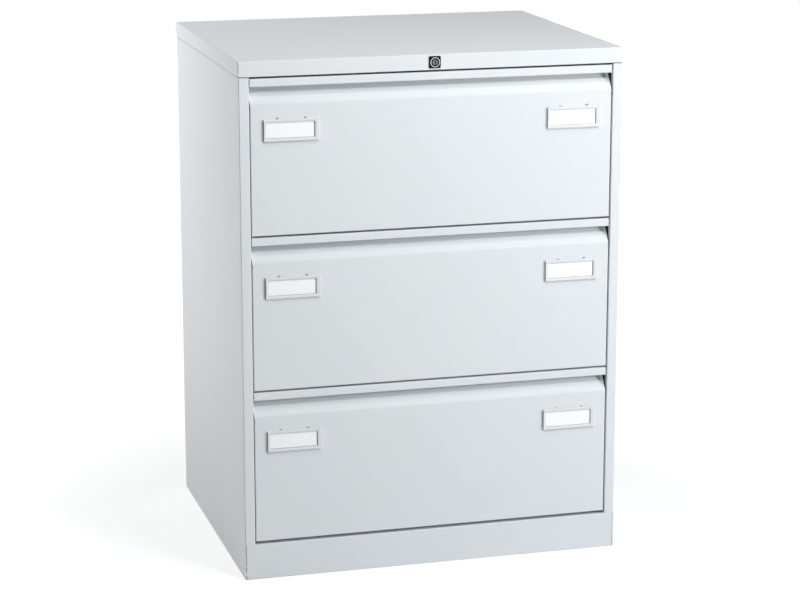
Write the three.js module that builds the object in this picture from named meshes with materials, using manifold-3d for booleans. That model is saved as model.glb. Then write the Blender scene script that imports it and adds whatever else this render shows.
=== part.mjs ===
// Three-drawer side filing cabinet in folded and painted sheet steel.
// Millimetres, +Z up, drawers opening towards -Y. The origin lies on the floor, in the middle of the
// footprint.

import * as THREE from 'three';
import { mergeVertices } from 'three/addons/utils/BufferGeometryUtils.js';
import Module from 'manifold-3d';

const wasm = await Module();
wasm.setup();

// Overall size
const CABINET_WIDTH = 762;
const CABINET_DEPTH = 622;
const CABINET_HEIGHT = 1016;

// Sheet and fits
const SHEET = 1; // gauge of every folded panel
const BEND_RADIUS = 1; // inside radius of a plain fold
const SEAM = 0.3; // gap between pieces that are welded, seated or clipped together
const BEND_STEP = Math.PI / 8; // about what one facet of a bend turns
const ROUND_SIDES = 24; // facets of a round piece

// Top panel
const CAP_HEIGHT = 30;
const CAP_OVERHANG = 1; // beyond the side panels, on each side
const CAP_RETURN = 12; // inward fold at the foot of the side and rear flanges
const CAP_EDGE_RADIUS = 2;

// Carcass
const STILE_WIDTH = 20;
const STILE_RETURN = 10;
const PANEL_FLANGE = 15;
const FLANGE_FRONT = 45; // side flanges begin behind the lock bar
const FLANGE_REAR = 20; // and stop short of the back panel's flanges
const BACK_FLANGE = 12;
const PLINTH_HEIGHT = 71;
const PLINTH_RETURN = 20;
const PLINTH_END_GAP = 0.8;
const BASE_SKIRT = 25;
const FOOT_FLANGE_HEIGHT = 28;
const FOOT_FLANGE_DEPTH = 60;

// Levelling feet
const FOOT_INSET_X = 60;
const FOOT_INSET_Y = 40;
const PAD_DIAMETER = 36;
const PAD_EDGE = 5;
const PAD_HEIGHT = 9;
const PAD_TOP_DIAMETER = 24;
const STUD_DIAMETER = 10;
const STUD_TOP = 48;

// Drawer fronts
const DRAWER_NAMES = ['bottom', 'middle', 'top'];
const DRAWER_GAP = 3;
const BOTTOM_GAP = 6;
const DRAWER_SIDE_GAP = 2;
const STRIP_HEIGHT = 16; // lip that the fingers hook behind
const PULL_OPENING = 32; // from the strip down to where the slope starts
const PULL_DEPTH = 26;
const PULL_BACK_HEIGHT = 12;
const PULL_FOOT_RADIUS = 8; // soft bend between the flat and the slope
const PULL_BACK_RADIUS = 3;
const FRONT_FLANGE = 14;
const FRONT_UPTURN = 16;

// Drawer trays and their hanging rails
const TRAY_LIFT = 8;
const TRAY_HEADROOM = 48; // from a drawer front's top down to the tray's side walls
const TRAY_FRONT_HEADROOM = 4;
const TRAY_REAR_CLEARANCE = 24;
const RAIL_SPACING = 387; // between the two edges that a foolscap file hangs on
const RAIL_THICKNESS = 3;
const RAIL_HEIGHT = 14;
const RAIL_STAND = 7; // how far a rail stands above the walls that it rests on

// Telescopic runners
const RUNNER_SIDE_GAP = 0.6; // between the stile's return and the outer member
const RUNNER_THICKNESS = 12.7;
const RUNNER_HEIGHT = 45;
const RUNNER_AXIS = 90; // above the drawer front's lower edge
const RUNNER_GAUGE = 1.2;
const RUNNER_CLEARANCE = 0.3;
const RUNNER_LIP_GAP = 1.5; // between a member's flange edge and the next member's web
const RUNNER_RACE = 3; // ball race on the middle member's flanges
const RUNNER_FRONT = 34;
const RUNNER_REAR = 4; // short of the tray's rear
const BRACKET_INSET = 20;
const BRACKET_FOOT = 16;
const BRACKET_HEIGHT = 40;

// Label holders and cards
const HOLDER_LENGTH = 107;
const HOLDER_HEIGHT = 41.5;
const HOLDER_THICKNESS = 4;
const HOLDER_INSET = 24.5; // from the drawer front's edge
const HOLDER_DROP = 78; // from the drawer front's top
const HOLDER_RADIUS = 1.5;
const WINDOW_LEFT = 5;
const WINDOW_RIGHT = 8.5;
const WINDOW_TOP = 6;
const WINDOW_BOTTOM = 6.5;
const WINDOW_RADIUS = 3;
const CLIP_LENGTH = 7;
const CLIP_HEIGHT = 1.2;
const CLIP_THICKNESS = 2;
const CLIP_SPACING = 54;
const CARD_THICKNESS = 0.6;
const CARD_CLEARANCE = 0.3;
const CARD_LAP = 2.5; // behind the window's edges

// Lock
const ESCUTCHEON_SIZE = 23;
const ESCUTCHEON_THICKNESS = 1.5;
const ESCUTCHEON_RADIUS = 2;
const BARREL_DIAMETER = 17;
const BARREL_LENGTH = 18; // behind the lip's face
const RIM_DIAMETER = 19;
const RIM_THICKNESS = 1.5;
const PLUG_DIAMETER = 13;
const PLUG_CLEARANCE = 0.3;
const PLUG_RECESS = 0.4;
const KEYWAY_WIDTH = 1.8;
const KEYWAY_LENGTH = 8;
const KEYWAY_DEPTH = 10;
const LOCK_TURN = Math.PI / 2;
const CAM_THROW = 7; // from the plug's axis to the cam's pin
const CAM_THICKNESS = 3;
const CAM_RADIUS = 5;
const PIN_DIAMETER = 5;
const PIN_PLAY = 0.5;
const PIN_WALL = 2.5; // least metal round a slot
const PIN_STAND = 0.8; // how far a pin comes through its slot
const SLIDE_GAP = 0.6; // between sliding plates that lie face to face
const LINK_THICKNESS = 2;
const BAR_WIDTH = 12;
const BAR_THICKNESS = 3;
const BAR_CLEARANCE = 2; // from the stile's return
const BAR_ARM = 25;
const LUG_HEIGHT = 12;
const LUG_BASE = 200; // above the drawer front's lower edge
const LUG_REACH = 10;
const LUG_THICKNESS = 4;
const HOOK_LIFT = 2; // clear of the lug when unlocked
const HOOK_LAP = 6;
const HOOK_PLAY = 1;
const GUIDE_WALL = 1.5;
const GUIDE_LENGTH = 30;

// Places that several pieces share. Depth runs back from the front face, width out from the middle.
const halfWidth = CABINET_WIDTH / 2;
const sideFace = halfWidth - CAP_OVERHANG;
const skinInside = sideFace - SHEET;
const openingHalf = sideFace - STILE_WIDTH;
const frontHalf = openingHalf - DRAWER_SIDE_GAP;
const capBottom = CABINET_HEIGHT - CAP_HEIGHT;
const sideTop = capBottom - SEAM;
const backFace = CABINET_DEPTH - SHEET - SEAM;
const backInside = backFace - SHEET;
const drawerCount = DRAWER_NAMES.length;
const drawerSpace = capBottom - PLINTH_HEIGHT - BOTTOM_GAP;
const frontHeight = drawerSpace / drawerCount - DRAWER_GAP;
const drawerBase = (index) => PLINTH_HEIGHT + BOTTOM_GAP + index * (frontHeight + DRAWER_GAP);
const pullBack = PULL_DEPTH + SHEET;
const trayFront = pullBack + SEAM;
const trayRear = CABINET_DEPTH - TRAY_REAR_CLEARANCE;
const trayTop = frontHeight - TRAY_HEADROOM;
const runnerFace = openingHalf - RUNNER_SIDE_GAP;
const trayHalf = runnerFace - RUNNER_THICKNESS - SEAM;
const lockHeight = CABINET_HEIGHT - CAP_HEIGHT / 2;
const camFront = BARREL_LENGTH + SLIDE_GAP;
const linkFront = camFront + CAM_THICKNESS + SLIDE_GAP;
const linkBack = linkFront + LINK_THICKNESS;
const barFront = linkBack + SLIDE_GAP;
const barBack = barFront + BAR_THICKNESS;
const barInside = openingHalf + SHEET + BAR_CLEARANCE;
const barOutside = barInside + BAR_WIDTH;
const slotRadius = PIN_DIAMETER / 2 + PIN_PLAY;
const linkTravel = 2 * CAM_THROW * Math.sin(LOCK_TURN / 2);
const linkTop = CAM_THROW + slotRadius + PIN_WALL;
const linkBottom = linkTop - linkTravel - 2 * (slotRadius + PIN_WALL);
const barPin = new THREE.Vector2(barInside - BAR_ARM, CAM_THROW);
const hookBase = LUG_BASE + LUG_HEIGHT + HOOK_LIFT;
const frontProud = SEAM + HOLDER_THICKNESS;

// Finishes
const GREY_PAINT = { color: 0xdde1e5, roughness: 0.45, metalness: 0.0 };
const ZINC_PLATE = { color: 0xb9bcc0, roughness: 0.35, metalness: 0.9 };
const HOLDER_PLASTIC = { color: 0xe4e7ea, roughness: 0.4, metalness: 0.0 };
const CARD_STOCK = { color: 0xfbfcfd, roughness: 0.8, metalness: 0.0 };
const CHROME = { color: 0xd5d8da, roughness: 0.12, metalness: 1.0 };
const BLACK_PLASTIC = { color: 0x17181a, roughness: 0.4, metalness: 0.0 };
const BLACK_STEEL = { color: 0x2a2b2d, roughness: 0.4, metalness: 0.8 };

// A closed three.js geometry as a solid that can be joined and cut.
function solid(geometry) {
  const bare = geometry.clone();
  bare.deleteAttribute('normal');
  bare.deleteAttribute('uv');
  const merged = mergeVertices(bare);
  const index = Array.from(merged.index.array);
  const triVerts = [];
  for (let i = 0; i < index.length; i += 3) {
    const corners = index.slice(i, i + 3);
    if (new Set(corners).size === 3) triVerts.push(...corners);
  }
  const vertProperties = new Float32Array(merged.attributes.position.array);
  return new wasm.Manifold(
    new wasm.Mesh({ numProp: 3, vertProperties, triVerts: new Uint32Array(triVerts) }),
  );
}

function joined(first, ...others) {
  return others.reduce((sum, other) => sum.add(other), first);
}

function cut(body, ...tools) {
  return tools.reduce((rest, tool) => rest.subtract(tool), body);
}

// A block between two values along each axis, in either order.
function block(xs, ys, zs) {
  const spans = [xs, ys, zs];
  const size = spans.map(([a, b]) => Math.abs(b - a));
  const middle = spans.map(([a, b]) => (a + b) / 2);
  const box = new THREE.BoxGeometry(...size);
  box.translate(...middle);
  return solid(box);
}

// An outline drawn across one axis and extruded along it. Outlines are (Y, Z) along X, (X, Z) along Y
// and (X, Y) along Z.
function prism(axis, outline, from, to) {
  const shape = new THREE.Shape(outline);
  const geometry = new THREE.ExtrudeGeometry(shape, { depth: to - from, bevelEnabled: false });
  const x = new THREE.Vector3(1, 0, 0);
  const y = new THREE.Vector3(0, 1, 0);
  const z = new THREE.Vector3(0, 0, 1);
  if (axis === 'x') {
    geometry.applyMatrix4(new THREE.Matrix4().makeBasis(y, z, x));
    geometry.translate(from, 0, 0);
  } else if (axis === 'y') {
    geometry.applyMatrix4(new THREE.Matrix4().makeBasis(x, z, y.clone().negate()));
    geometry.translate(0, to, 0);
  } else {
    geometry.translate(0, 0, from);
  }
  return solid(geometry);
}

// Points of the arc that rounds one corner of a line.
function roundCorner(before, corner, after, radius) {
  const arriving = corner.clone().sub(before).normalize();
  const leaving = after.clone().sub(corner).normalize();
  const turn = Math.atan2(arriving.cross(leaving), arriving.dot(leaving));
  const steps = Math.max(1, Math.round(Math.abs(turn) / BEND_STEP));
  const setback = radius * Math.tan(Math.abs(turn) / 2);
  const start = corner.clone().addScaledVector(arriving, -setback);
  const toCentre = new THREE.Vector2(-arriving.y, arriving.x).multiplyScalar(Math.sign(turn) * radius);
  const centre = start.clone().add(toCentre);
  return Array.from({ length: steps + 1 }, (_, i) => {
    return start.clone().rotateAround(centre, (turn * i) / steps);
  });
}

// Outline of a folded sheet. The path follows one face, and the sheet lies on the right of it. A path
// point is [across, up], or [across, up, inside radius] where the fold isn't a plain one.
function foldedSheet(path) {
  const face = path.map(([across, up]) => new THREE.Vector2(across, up));
  const normals = face.slice(1).map((point, i) => {
    const along = point.clone().sub(face[i]).normalize();
    return new THREE.Vector2(along.y, -along.x);
  });
  const reverse = face.map((point, i) => {
    const before = normals[Math.max(i - 1, 0)];
    const after = normals[Math.min(i, normals.length - 1)];
    const both = before.clone().add(after);
    return point.clone().addScaledVector(both, SHEET / (1 + before.dot(after)));
  });
  const rounded = (line, isReverse) => {
    const folds = line.slice(1, -1).map((corner, i) => {
      const [, , inside = BEND_RADIUS] = path[i + 1];
      const turnsRight = normals[i].cross(normals[i + 1]) < 0;
      const radius = turnsRight === isReverse ? inside : inside + SHEET;
      return roundCorner(line[i], corner, line[i + 2], radius);
    });
    return [line[0], ...folds.flat(), line.at(-1)];
  };
  return [...rounded(face, false), ...rounded(reverse, true).reverse()];
}

function roundedRectangle([left, right], [low, high], radius) {
  const corners = [
    new THREE.Vector2(left, low),
    new THREE.Vector2(right, low),
    new THREE.Vector2(right, high),
    new THREE.Vector2(left, high),
  ];
  return corners.flatMap((corner, i) => {
    return roundCorner(corners.at(i - 1), corner, corners[(i + 1) % corners.length], radius);
  });
}

function circle(centre, radius) {
  return Array.from({ length: ROUND_SIDES }, (_, i) => {
    const angle = (2 * Math.PI * i) / ROUND_SIDES;
    return new THREE.Vector2(radius, 0).rotateAround(new THREE.Vector2(), angle).add(centre);
  });
}

// The outline that a disc sweeps on its way from one point to another.
function stadium(from, to, radius) {
  const heading = to.clone().sub(from).angle();
  const half = ROUND_SIDES / 2;
  const cap = (centre, startAngle) => {
    return Array.from({ length: half + 1 }, (_, i) => {
      const angle = startAngle + (Math.PI * i) / half;
      return new THREE.Vector2(radius, 0).rotateAround(new THREE.Vector2(), angle).add(centre);
    });
  };
  return [...cap(to, heading - Math.PI / 2), ...cap(from, heading + Math.PI / 2)];
}

function mirroredOutline(outline, side) {
  return outline.map((point) => new THREE.Vector2(side * point.x, point.y));
}

// Adds one named piece to a group.
function addPiece(group, name, body, finish) {
  const { vertProperties, triVerts } = body.getMesh();
  const geometry = new THREE.BufferGeometry();
  geometry.setAttribute('position', new THREE.BufferAttribute(vertProperties, 3));
  geometry.setIndex(new THREE.BufferAttribute(triVerts, 1));
  geometry.computeVertexNormals();
  const mesh = new THREE.Mesh(geometry, new THREE.MeshStandardMaterial(finish));
  mesh.name = name;
  group.add(mesh);
}

// Tray with flanges all round, returns at the sides and rear, and a plain front lip with the lock's
// hole.
function topPanel() {
  const across = [-halfWidth, halfWidth];
  const deep = [0, CABINET_DEPTH];
  const overTop = [capBottom - CAP_HEIGHT, CABINET_HEIGHT];
  const lengthwise = prism('x', roundedRectangle(deep, overTop, CAP_EDGE_RADIUS), ...across);
  const crosswise = prism('y', roundedRectangle(across, overTop, CAP_EDGE_RADIUS), ...deep);
  const upright = prism('z', roundedRectangle(across, deep, CAP_EDGE_RADIUS), capBottom, CABINET_HEIGHT);
  const wide = [SHEET - halfWidth, halfWidth - SHEET];
  const hollow = block(wide, [SHEET, CABINET_DEPTH - SHEET], [capBottom + SHEET, CABINET_HEIGHT - SHEET]);
  const mouthHeight = [capBottom - SHEET, capBottom + 2 * SHEET];
  const mouth = block(
    [CAP_RETURN - halfWidth, halfWidth - CAP_RETURN],
    [SHEET, CABINET_DEPTH - CAP_RETURN],
    mouthHeight,
  );
  const frontMouth = block(wide, [SHEET, FLANGE_FRONT], mouthHeight);
  const lockCentre = new THREE.Vector2(0, lockHeight);
  const lockHole = prism('y', circle(lockCentre, BARREL_DIAMETER / 2 + SEAM), -SHEET, 2 * SHEET);
  return cut(lengthwise.intersect(crosswise).intersect(upright), hollow, mouth, frontMouth, lockHole);
}

// Skin, front stile with its return, and rear, top and bottom flanges. The stile stops at the plinth.
function sidePanel(side) {
  const plan = foldedSheet([
    [sideFace - PANEL_FLANGE, CABINET_DEPTH],
    [sideFace, CABINET_DEPTH],
    [sideFace, 0],
    [openingHalf, 0],
    [openingHalf, STILE_RETURN],
  ]);
  const skin = prism('z', mirroredOutline(plan, side), 0, sideTop);
  const flangeWidth = [side * (skinInside - PANEL_FLANGE), side * (sideFace - SHEET / 2)];
  const flangeDepth = [FLANGE_FRONT, CABINET_DEPTH - FLANGE_REAR];
  const topFlange = block(flangeWidth, flangeDepth, [sideTop - SHEET, sideTop]);
  const bottomFlange = block(flangeWidth, flangeDepth, [0, SHEET]);
  const plinthNotch = block(
    [side * (openingHalf - SHEET), side * skinInside],
    [-SHEET, STILE_RETURN + SHEET],
    [-SHEET, PLINTH_HEIGHT],
  );
  return cut(joined(skin, topFlange, bottomFlange), plinthNotch);
}

function backPanel() {
  const half = skinInside - SEAM;
  const profile = foldedSheet([
    [backFace - BACK_FLANGE, sideTop],
    [backFace, sideTop],
    [backFace, SEAM],
    [backFace - BACK_FLANGE, SEAM],
  ]);
  return prism('x', profile, -half, half);
}

// Floor of the carcass, folded down all round, with flanges that the levelling feet screw into.
function basePanel() {
  const half = skinInside - SEAM;
  const front = SHEET + SEAM;
  const rear = backInside - SEAM;
  const top = PLINTH_HEIGHT - SHEET - SEAM;
  const profile = foldedSheet([
    [front + FOOT_FLANGE_DEPTH, FOOT_FLANGE_HEIGHT],
    [front, FOOT_FLANGE_HEIGHT],
    [front, top],
    [rear, top],
    [rear, FOOT_FLANGE_HEIGHT],
    [rear - FOOT_FLANGE_DEPTH, FOOT_FLANGE_HEIGHT],
  ]);
  const floor = prism('x', profile, -half, half);
  const skirts = [-1, 1].map((side) => {
    return block(
      [side * (half - SHEET), side * half],
      [front + FOOT_FLANGE_DEPTH, rear - FOOT_FLANGE_DEPTH],
      [top - BASE_SKIRT, top - SHEET / 2],
    );
  });
  const studHoles = footPlaces().map(({ x, y }) => {
    const hole = circle(new THREE.Vector2(x, y), STUD_DIAMETER / 2 + SEAM);
    return prism('z', hole, FOOT_FLANGE_HEIGHT - SHEET, FOOT_FLANGE_HEIGHT + 2 * SHEET);
  });
  return cut(joined(floor, ...skirts), ...studHoles);
}

function plinthFront() {
  const half = skinInside - PLINTH_END_GAP;
  const profile = foldedSheet([
    [PLINTH_RETURN, 0],
    [0, 0],
    [0, PLINTH_HEIGHT],
    [PLINTH_RETURN, PLINTH_HEIGHT],
  ]);
  return prism('x', profile, -half, half);
}

function footPlaces() {
  const x = halfWidth - FOOT_INSET_X;
  const rear = CABINET_DEPTH - FOOT_INSET_Y;
  return [
    { name: 'front_left_foot', x: -x, y: FOOT_INSET_Y },
    { name: 'front_right_foot', x, y: FOOT_INSET_Y },
    { name: 'rear_left_foot', x: -x, y: rear },
    { name: 'rear_right_foot', x, y: rear },
  ];
}

// Pad and threaded stud in one, turned about +Z.
function levellingFoot() {
  const profile = [
    [0, 0],
    [PAD_DIAMETER / 2, 0],
    [PAD_DIAMETER / 2, PAD_EDGE],
    [PAD_TOP_DIAMETER / 2, PAD_HEIGHT],
    [STUD_DIAMETER / 2, PAD_HEIGHT],
    [STUD_DIAMETER / 2, STUD_TOP],
    [0, STUD_TOP],
  ];
  const points = profile.map(([radius, height]) => new THREE.Vector2(radius, height));
  const turned = new THREE.LatheGeometry(points, ROUND_SIDES);
  turned.rotateX(Math.PI / 2);
  return solid(turned);
}

// One folded sheet: lip behind the foot, bottom, flat face, slope, back of the pull, top and strip.
function drawerFront() {
  const pullFoot = frontHeight - STRIP_HEIGHT - PULL_OPENING;
  const under = frontHeight - SHEET;
  const profile = foldedSheet([
    [pullBack, FRONT_UPTURN],
    [pullBack, 0],
    [0, 0],
    [0, pullFoot, PULL_FOOT_RADIUS],
    [PULL_DEPTH, frontHeight - PULL_BACK_HEIGHT, PULL_BACK_RADIUS],
    [PULL_DEPTH, under],
    [SHEET, under],
    [SHEET, frontHeight - STRIP_HEIGHT],
  ]);
  const face = prism('x', profile, -frontHalf, frontHalf);
  const flanges = [-1, 1].map((side) => {
    return block(
      [side * (frontHalf - SHEET), side * frontHalf],
      [SHEET / 2, FRONT_FLANGE],
      [SHEET / 2, pullFoot - PULL_FOOT_RADIUS],
    );
  });
  return joined(face, ...flanges);
}

// Open box behind a drawer front, with the lug that the lock's hook drops in front of.
function drawerTray() {
  const outside = block([-trayHalf, trayHalf], [trayFront, trayRear], [TRAY_LIFT, trayTop]);
  const inside = block(
    [SHEET - trayHalf, trayHalf - SHEET],
    [trayFront + SHEET, trayRear - SHEET],
    [TRAY_LIFT + SHEET, trayTop + SHEET],
  );
  const apron = block(
    [-trayHalf, trayHalf],
    [trayFront, trayFront + SHEET],
    [TRAY_LIFT + SHEET, frontHeight - TRAY_FRONT_HEADROOM],
  );
  const lugFront = barBack + HOOK_PLAY;
  const lug = block(
    [trayHalf - SHEET / 2, trayHalf + LUG_REACH],
    [lugFront, lugFront + LUG_THICKNESS],
    [LUG_BASE, LUG_BASE + LUG_HEIGHT],
  );
  return joined(cut(outside, inside), apron, lug);
}

// Bar that suspension files hang on, notched at its ends to sit on the tray's side walls.
function hangingRail(depth) {
  const along = [depth - RAIL_THICKNESS / 2, depth + RAIL_THICKNESS / 2];
  const low = trayTop + RAIL_STAND - RAIL_HEIGHT;
  const bar = block([-trayHalf, trayHalf], along, [low, low + RAIL_HEIGHT]);
  const notches = [-1, 1].map((side) => {
    return block(
      [side * (trayHalf - SHEET - SEAM), side * (trayHalf + SHEET)],
      [along[0] - SHEET, along[1] + SHEET],
      [low - SHEET, trayTop + SEAM],
    );
  });
  return cut(bar, ...notches);
}

// Outline of a channel section, open towards its lip, centred on the runner's axis.
function channel(web, lip, halfHeight, webGauge, flangeGauge) {
  const inside = web + Math.sign(lip - web) * webGauge;
  const reach = halfHeight - flangeGauge;
  const points = [
    [web, -halfHeight],
    [lip, -halfHeight],
    [lip, -reach],
    [inside, -reach],
    [inside, reach],
    [lip, reach],
    [lip, halfHeight],
    [web, halfHeight],
  ];
  return points.map(([x, z]) => new THREE.Vector2(x, z + RUNNER_AXIS));
}

// Fixed member, with two brackets that reach out to the side panel.
function runnerOuter(side) {
  const lip = runnerFace - RUNNER_THICKNESS + RUNNER_GAUGE + RUNNER_LIP_GAP;
  const rear = trayRear - RUNNER_REAR;
  const section = channel(runnerFace, lip, RUNNER_HEIGHT / 2, RUNNER_GAUGE, RUNNER_GAUGE);
  const member = prism('y', mirroredOutline(section, side), RUNNER_FRONT, rear);
  const seat = skinInside - SEAM;
  const tall = [RUNNER_AXIS - BRACKET_HEIGHT / 2, RUNNER_AXIS + BRACKET_HEIGHT / 2];
  const brackets = [RUNNER_FRONT + BRACKET_INSET, rear - BRACKET_INSET - BRACKET_FOOT].map((depth) => {
    const arm = block(
      [side * (runnerFace - RUNNER_GAUGE / 2), side * seat],
      [depth, depth + RUNNER_GAUGE],
      tall,
    );
    const foot = block([side * (seat - RUNNER_GAUGE), side * seat], [depth, depth + BRACKET_FOOT], tall);
    return joined(arm, foot);
  });
  return joined(member, ...brackets);
}

// Member between the other two. Its thick flanges are the ball races on both sides.
function runnerMiddle(side) {
  const web = runnerFace - RUNNER_GAUGE - RUNNER_CLEARANCE;
  const lip = runnerFace - RUNNER_THICKNESS + RUNNER_GAUGE + RUNNER_LIP_GAP;
  const halfHeight = RUNNER_HEIGHT / 2 - RUNNER_GAUGE - RUNNER_CLEARANCE;
  const section = channel(web, lip, halfHeight, RUNNER_GAUGE, RUNNER_RACE);
  return prism('y', mirroredOutline(section, side), RUNNER_FRONT, trayRear - RUNNER_REAR);
}

// Member fixed to the tray's side wall.
function runnerInner(side) {
  const web = runnerFace - RUNNER_THICKNESS;
  const lip = runnerFace - 2 * RUNNER_GAUGE - RUNNER_CLEARANCE - RUNNER_LIP_GAP;
  const halfHeight = RUNNER_HEIGHT / 2 - RUNNER_GAUGE - RUNNER_RACE - 2 * RUNNER_CLEARANCE;
  const section = channel(web, lip, halfHeight, RUNNER_GAUGE, RUNNER_GAUGE);
  return prism('y', mirroredOutline(section, side), RUNNER_FRONT, trayRear - RUNNER_REAR);
}

const windowAcross = [WINDOW_LEFT - HOLDER_LENGTH / 2, HOLDER_LENGTH / 2 - WINDOW_RIGHT];
const windowUp = [WINDOW_BOTTOM - HOLDER_HEIGHT / 2, HOLDER_HEIGHT / 2 - WINDOW_TOP];
const cardAcross = [windowAcross[0] - CARD_LAP, windowAcross[1] + CARD_LAP];
const cardUp = [windowUp[0] - CARD_LAP, windowUp[1] + CARD_LAP];

// Moulded frame round a window, with a pocket behind it that is open at the left end, and two clips on
// its upper edge.
function labelHolder() {
  const across = [-HOLDER_LENGTH / 2, HOLDER_LENGTH / 2];
  const up = [-HOLDER_HEIGHT / 2, HOLDER_HEIGHT / 2];
  const face = -SEAM - HOLDER_THICKNESS;
  const body = prism('y', roundedRectangle(across, up, HOLDER_RADIUS), face, -SEAM);
  const window = prism('y', roundedRectangle(windowAcross, windowUp, WINDOW_RADIUS), face - SHEET, 0);
  const pocketDepth = CARD_THICKNESS + 2 * CARD_CLEARANCE;
  const pocket = block(
    [across[0] - SHEET, cardAcross[1] + CARD_CLEARANCE],
    [-SEAM - pocketDepth, 0],
    [cardUp[0] - CARD_CLEARANCE, cardUp[1] + CARD_CLEARANCE],
  );
  const clips = [-1, 1].map((side) => {
    const middle = (side * CLIP_SPACING) / 2;
    return block(
      [middle - CLIP_LENGTH / 2, middle + CLIP_LENGTH / 2],
      [-SEAM - CLIP_THICKNESS, -SEAM],
      [up[1] - CLIP_HEIGHT, up[1] + CLIP_HEIGHT],
    );
  });
  return cut(joined(body, ...clips), window, pocket);
}

function labelCard() {
  const rear = -SEAM - CARD_CLEARANCE;
  return block(cardAcross, [rear - CARD_THICKNESS, rear], cardUp);
}

// Pieces of the lock lie about the plug's axis, which runs along Y.
const lockAxis = new THREE.Vector2();
const escutcheonFace = -SEAM - ESCUTCHEON_THICKNESS;
const rimBack = escutcheonFace - SEAM;
const rimFace = rimBack - RIM_THICKNESS;

function lockEscutcheon() {
  const span = [-ESCUTCHEON_SIZE / 2, ESCUTCHEON_SIZE / 2];
  const plate = prism('y', roundedRectangle(span, span, ESCUTCHEON_RADIUS), escutcheonFace, -SEAM);
  const hole = circle(lockAxis, BARREL_DIAMETER / 2 + SEAM);
  return cut(plate, prism('y', hole, escutcheonFace - SHEET, SHEET));
}

function lockBarrel() {
  const body = prism('y', circle(lockAxis, BARREL_DIAMETER / 2), rimFace, BARREL_LENGTH);
  const rim = prism('y', circle(lockAxis, RIM_DIAMETER / 2), rimFace, rimBack);
  const bore = circle(lockAxis, PLUG_DIAMETER / 2 + PLUG_CLEARANCE);
  return cut(joined(body, rim), prism('y', bore, rimFace - SHEET, BARREL_LENGTH + SHEET));
}

function lockPlug() {
  const face = rimFace + PLUG_RECESS;
  const body = prism('y', circle(lockAxis, PLUG_DIAMETER / 2), face, camFront - SEAM);
  const top = new THREE.Vector2(0, (KEYWAY_LENGTH - KEYWAY_WIDTH) / 2);
  const keyway = stadium(top.clone().negate(), top, KEYWAY_WIDTH / 2);
  return cut(body, prism('y', keyway, face - SHEET, face + KEYWAY_DEPTH));
}

// Plate on the plug's end, with the pin that drives the link. The pin is upright halfway through the
// lock's turn.
function lockCam() {
  const pinPlace = new THREE.Vector2(0, CAM_THROW).rotateAround(lockAxis, LOCK_TURN / 2);
  const camBack = camFront + CAM_THICKNESS;
  const plate = prism('y', stadium(lockAxis, pinPlace, CAM_RADIUS), camFront, camBack);
  const pin = circle(pinPlace, PIN_DIAMETER / 2);
  return joined(plate, prism('y', pin, camBack - SHEET, linkBack + SLIDE_GAP / 2));
}

// Strip that slides across: an upright slot for the cam's pin, and a slanted one that lowers the bar.
function lockLink() {
  const left = -linkTravel / 2;
  const margin = slotRadius + PIN_WALL;
  const strip = block([left - margin, barPin.x + margin], [linkFront, linkBack], [linkBottom, linkTop]);
  const through = [linkFront - SHEET, linkBack + SHEET];
  const lowest = new THREE.Vector2(left, CAM_THROW * Math.cos(LOCK_TURN / 2));
  const highest = new THREE.Vector2(left, CAM_THROW);
  const lowered = barPin.clone().subScalar(linkTravel);
  return cut(
    strip,
    prism('y', stadium(lowest, highest, slotRadius), ...through),
    prism('y', stadium(lowered, barPin, slotRadius), ...through),
  );
}

// Upright bar beside the drawers, with an arm for the link's pin and a hook for each drawer.
function lockBar() {
  const thick = [barFront, barBack];
  const hookBottom = (index) => drawerBase(index) + hookBase - lockHeight;
  const armTop = barPin.y + BAR_WIDTH / 2;
  const upright = block([barInside, barOutside], thick, [hookBottom(0), armTop]);
  const arm = block([barPin.x - BAR_WIDTH / 2, barOutside], thick, [armTop - BAR_WIDTH, armTop]);
  const pin = prism('y', circle(barPin, PIN_DIAMETER / 2), linkFront - PIN_STAND, barFront + SHEET);
  const hookTip = trayHalf + LUG_REACH - HOOK_LAP;
  const hooks = DRAWER_NAMES.map((_, index) => {
    return block([hookTip, barOutside], thick, [hookBottom(index), hookBottom(index) + LUG_HEIGHT]);
  });
  return joined(upright, arm, pin, ...hooks);
}

// Saddle under the top panel that the link slides through.
function lockLinkGuide() {
  const middle = barPin.x / 2;
  const across = [middle - GUIDE_LENGTH / 2, middle + GUIDE_LENGTH / 2];
  const shell = PIN_PLAY + GUIDE_WALL;
  const seat = CABINET_HEIGHT - SHEET - SEAM - lockHeight;
  const body = block(across, [linkFront - shell, linkBack + shell], [linkBottom - shell, seat]);
  const slot = block(
    [across[0] - SHEET, across[1] + SHEET],
    [linkFront - PIN_PLAY, linkBack + PIN_PLAY],
    [linkBottom - PIN_PLAY, linkTop + PIN_PLAY],
  );
  return cut(body, slot);
}

// Block on the side panel that the bar slides through, midway between the two upper hooks.
function lockBarGuide() {
  const upperHook = drawerBase(drawerCount - 1) + hookBase - lockHeight;
  const middle = upperHook - (frontHeight + DRAWER_GAP) / 2;
  const up = [middle - GUIDE_LENGTH / 2, middle + GUIDE_LENGTH / 2];
  const shell = PIN_PLAY + GUIDE_WALL;
  const body = block([barInside - shell, skinInside - SEAM], [barFront - shell, barBack + shell], up);
  const slot = block(
    [barInside - PIN_PLAY, barOutside + PIN_PLAY],
    [barFront - PIN_PLAY, barBack + PIN_PLAY],
    [up[0] - SHEET, up[1] + SHEET],
  );
  return cut(body, slot);
}

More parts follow.
